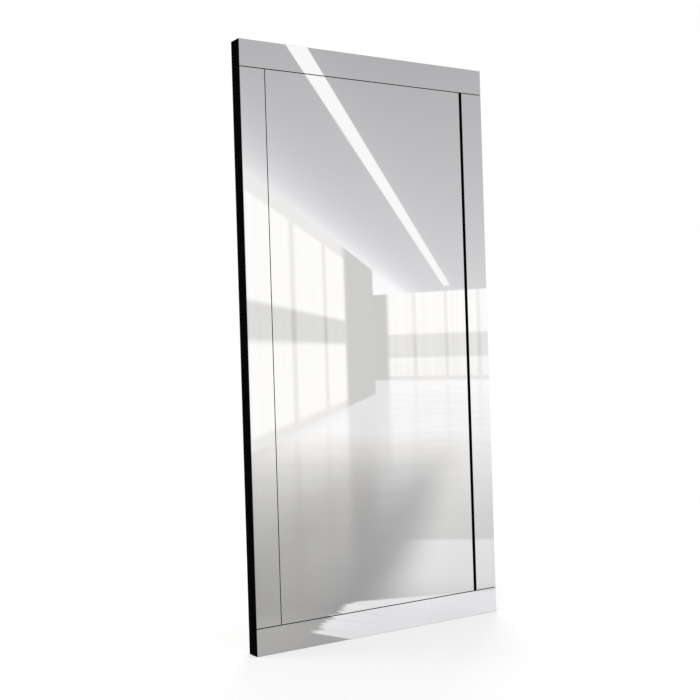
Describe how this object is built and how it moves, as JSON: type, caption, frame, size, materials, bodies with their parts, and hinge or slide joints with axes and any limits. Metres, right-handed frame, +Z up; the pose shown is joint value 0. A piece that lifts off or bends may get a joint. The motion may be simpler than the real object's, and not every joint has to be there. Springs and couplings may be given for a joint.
{
  "type": "full-length mirror",
  "caption": "Tall flat mirror faced with flush mirror panels split by hairline joints and one black channel, on a black box frame with D-ring hangers and wall bumpers.",
  "frame": {"origin": "middle of the underside of the bottom rail, which rests on the floor, halfway between the mirror face and the frame's back", "axes": "+X to the right of someone facing the mirror, +Y from the mirror face towards the wall, +Z up"},
  "size_m": [0.915, 0.059, 1.83],
  "materials": {
    "mirror_glass": "silvered float glass with ground, blackened edges",
    "black_lacquer": "satin black lacquer on fibreboard",
    "black_board": "matt black primed fibreboard",
    "raw_wood": "planed softwood, unfinished",
    "hardboard": "smooth brown hardboard",
    "zinc_steel": "bright zinc plate",
    "black_rubber": "matt moulded rubber",
    "foam_tape": "double-sided foam tape"
  },
  "bodies": {
    "mirror_body": {"mirror_centre": "mirror_glass", "mirror_strip_top": "mirror_glass", "mirror_strip_bottom": "mirror_glass", "mirror_strip_left": "mirror_glass", "mirror_strip_right": "mirror_glass", "mounting_tape": "foam_tape", "front_board": "black_board", "front_board_screws": "zinc_steel", "stile_left": "black_lacquer", "stile_right": "black_lacquer", "rail_top": "black_lacquer", "rail_bottom": "black_lacquer", "cross_rail_lower": "raw_wood", "cross_rail_upper": "raw_wood", "frame_dowels": "raw_wood", "back_panel": "hardboard", "back_panel_screws": "zinc_steel", "corner_plates": "zinc_steel", "corner_plate_screws": "zinc_steel", "hanger_strap_left": "zinc_steel", "hanger_strap_right": "zinc_steel", "hanger_screws": "zinc_steel", "wall_bumpers": "black_rubber", "wall_bumper_screws": "zinc_steel"},
    "ring_left": {"hanger_ring_left": "zinc_steel"},
    "ring_right": {"hanger_ring_right": "zinc_steel"}
  },
  "joints": [
    {"name": "ring_left_swing", "type": "hinge", "parent": "mirror_body", "child": "ring_left", "pos_m": [-0.4385, 0.02855, 1.5266], "axis": [1, 0, 0], "range_deg": [0, 177]},
    {"name": "ring_right_swing", "type": "hinge", "parent": "mirror_body", "child": "ring_right", "pos_m": [0.4385, 0.02855, 1.5266], "axis": [1, 0, 0], "range_deg": [0, 177]}
  ]
}
